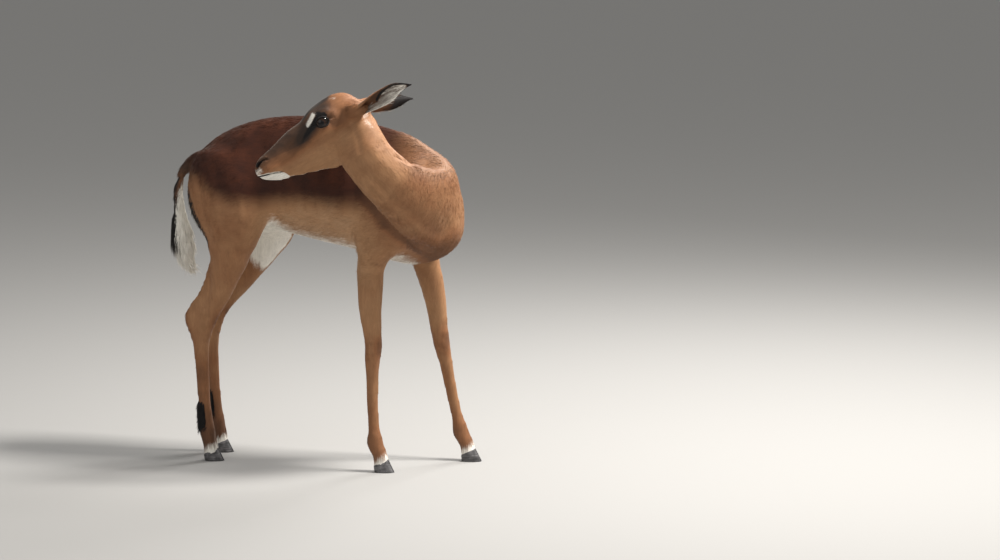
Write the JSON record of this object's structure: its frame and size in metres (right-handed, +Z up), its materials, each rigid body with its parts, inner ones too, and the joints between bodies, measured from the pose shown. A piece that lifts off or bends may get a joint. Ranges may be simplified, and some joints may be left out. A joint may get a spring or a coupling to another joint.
{
  "type": "impala antelope",
  "caption": "Life-size standing impala ewe without horns, head turned back over her right side, on slender legs with cloven hooves.",
  "frame": {"origin": "on the floor, under the middle of the animal's box", "axes": "+X the way her body faces, +Y her left side, +Z up"},
  "size_m": [0.7515, 0.4189, 0.9368],
  "materials": {
    "coat": "short sleek hair, red-brown above, fawn on the sides, white beneath",
    "tail_hair": "longer hair, dark line above, white beneath",
    "ear_hair": "very short hair outside, pale hair inside, black tip",
    "hoof_horn": "smooth dark horn",
    "eye": "wet and dark"
  },
  "bodies": {
    "root": {"trunk": "coat", "neck": "coat", "head": "coat", "tail": "tail_hair", "ear_left": "ear_hair", "ear_right": "ear_hair", "foreleg_right_upper": "coat", "foreleg_right_lower": "coat", "foreleg_left_upper": "coat", "foreleg_left_lower": "coat", "hindleg_right_upper": "coat", "hindleg_right_lower": "coat", "hindleg_left_upper": "coat", "hindleg_left_lower": "coat", "foreleg_right_hoof_outer": "hoof_horn", "foreleg_right_hoof_inner": "hoof_horn", "foreleg_left_hoof_outer": "hoof_horn", "foreleg_left_hoof_inner": "hoof_horn", "hindleg_right_hoof_outer": "hoof_horn", "hindleg_right_hoof_inner": "hoof_horn", "hindleg_left_hoof_outer": "hoof_horn", "hindleg_left_hoof_inner": "hoof_horn", "eye_left": "eye", "eye_right": "eye"}
  },
  "joints": []
}
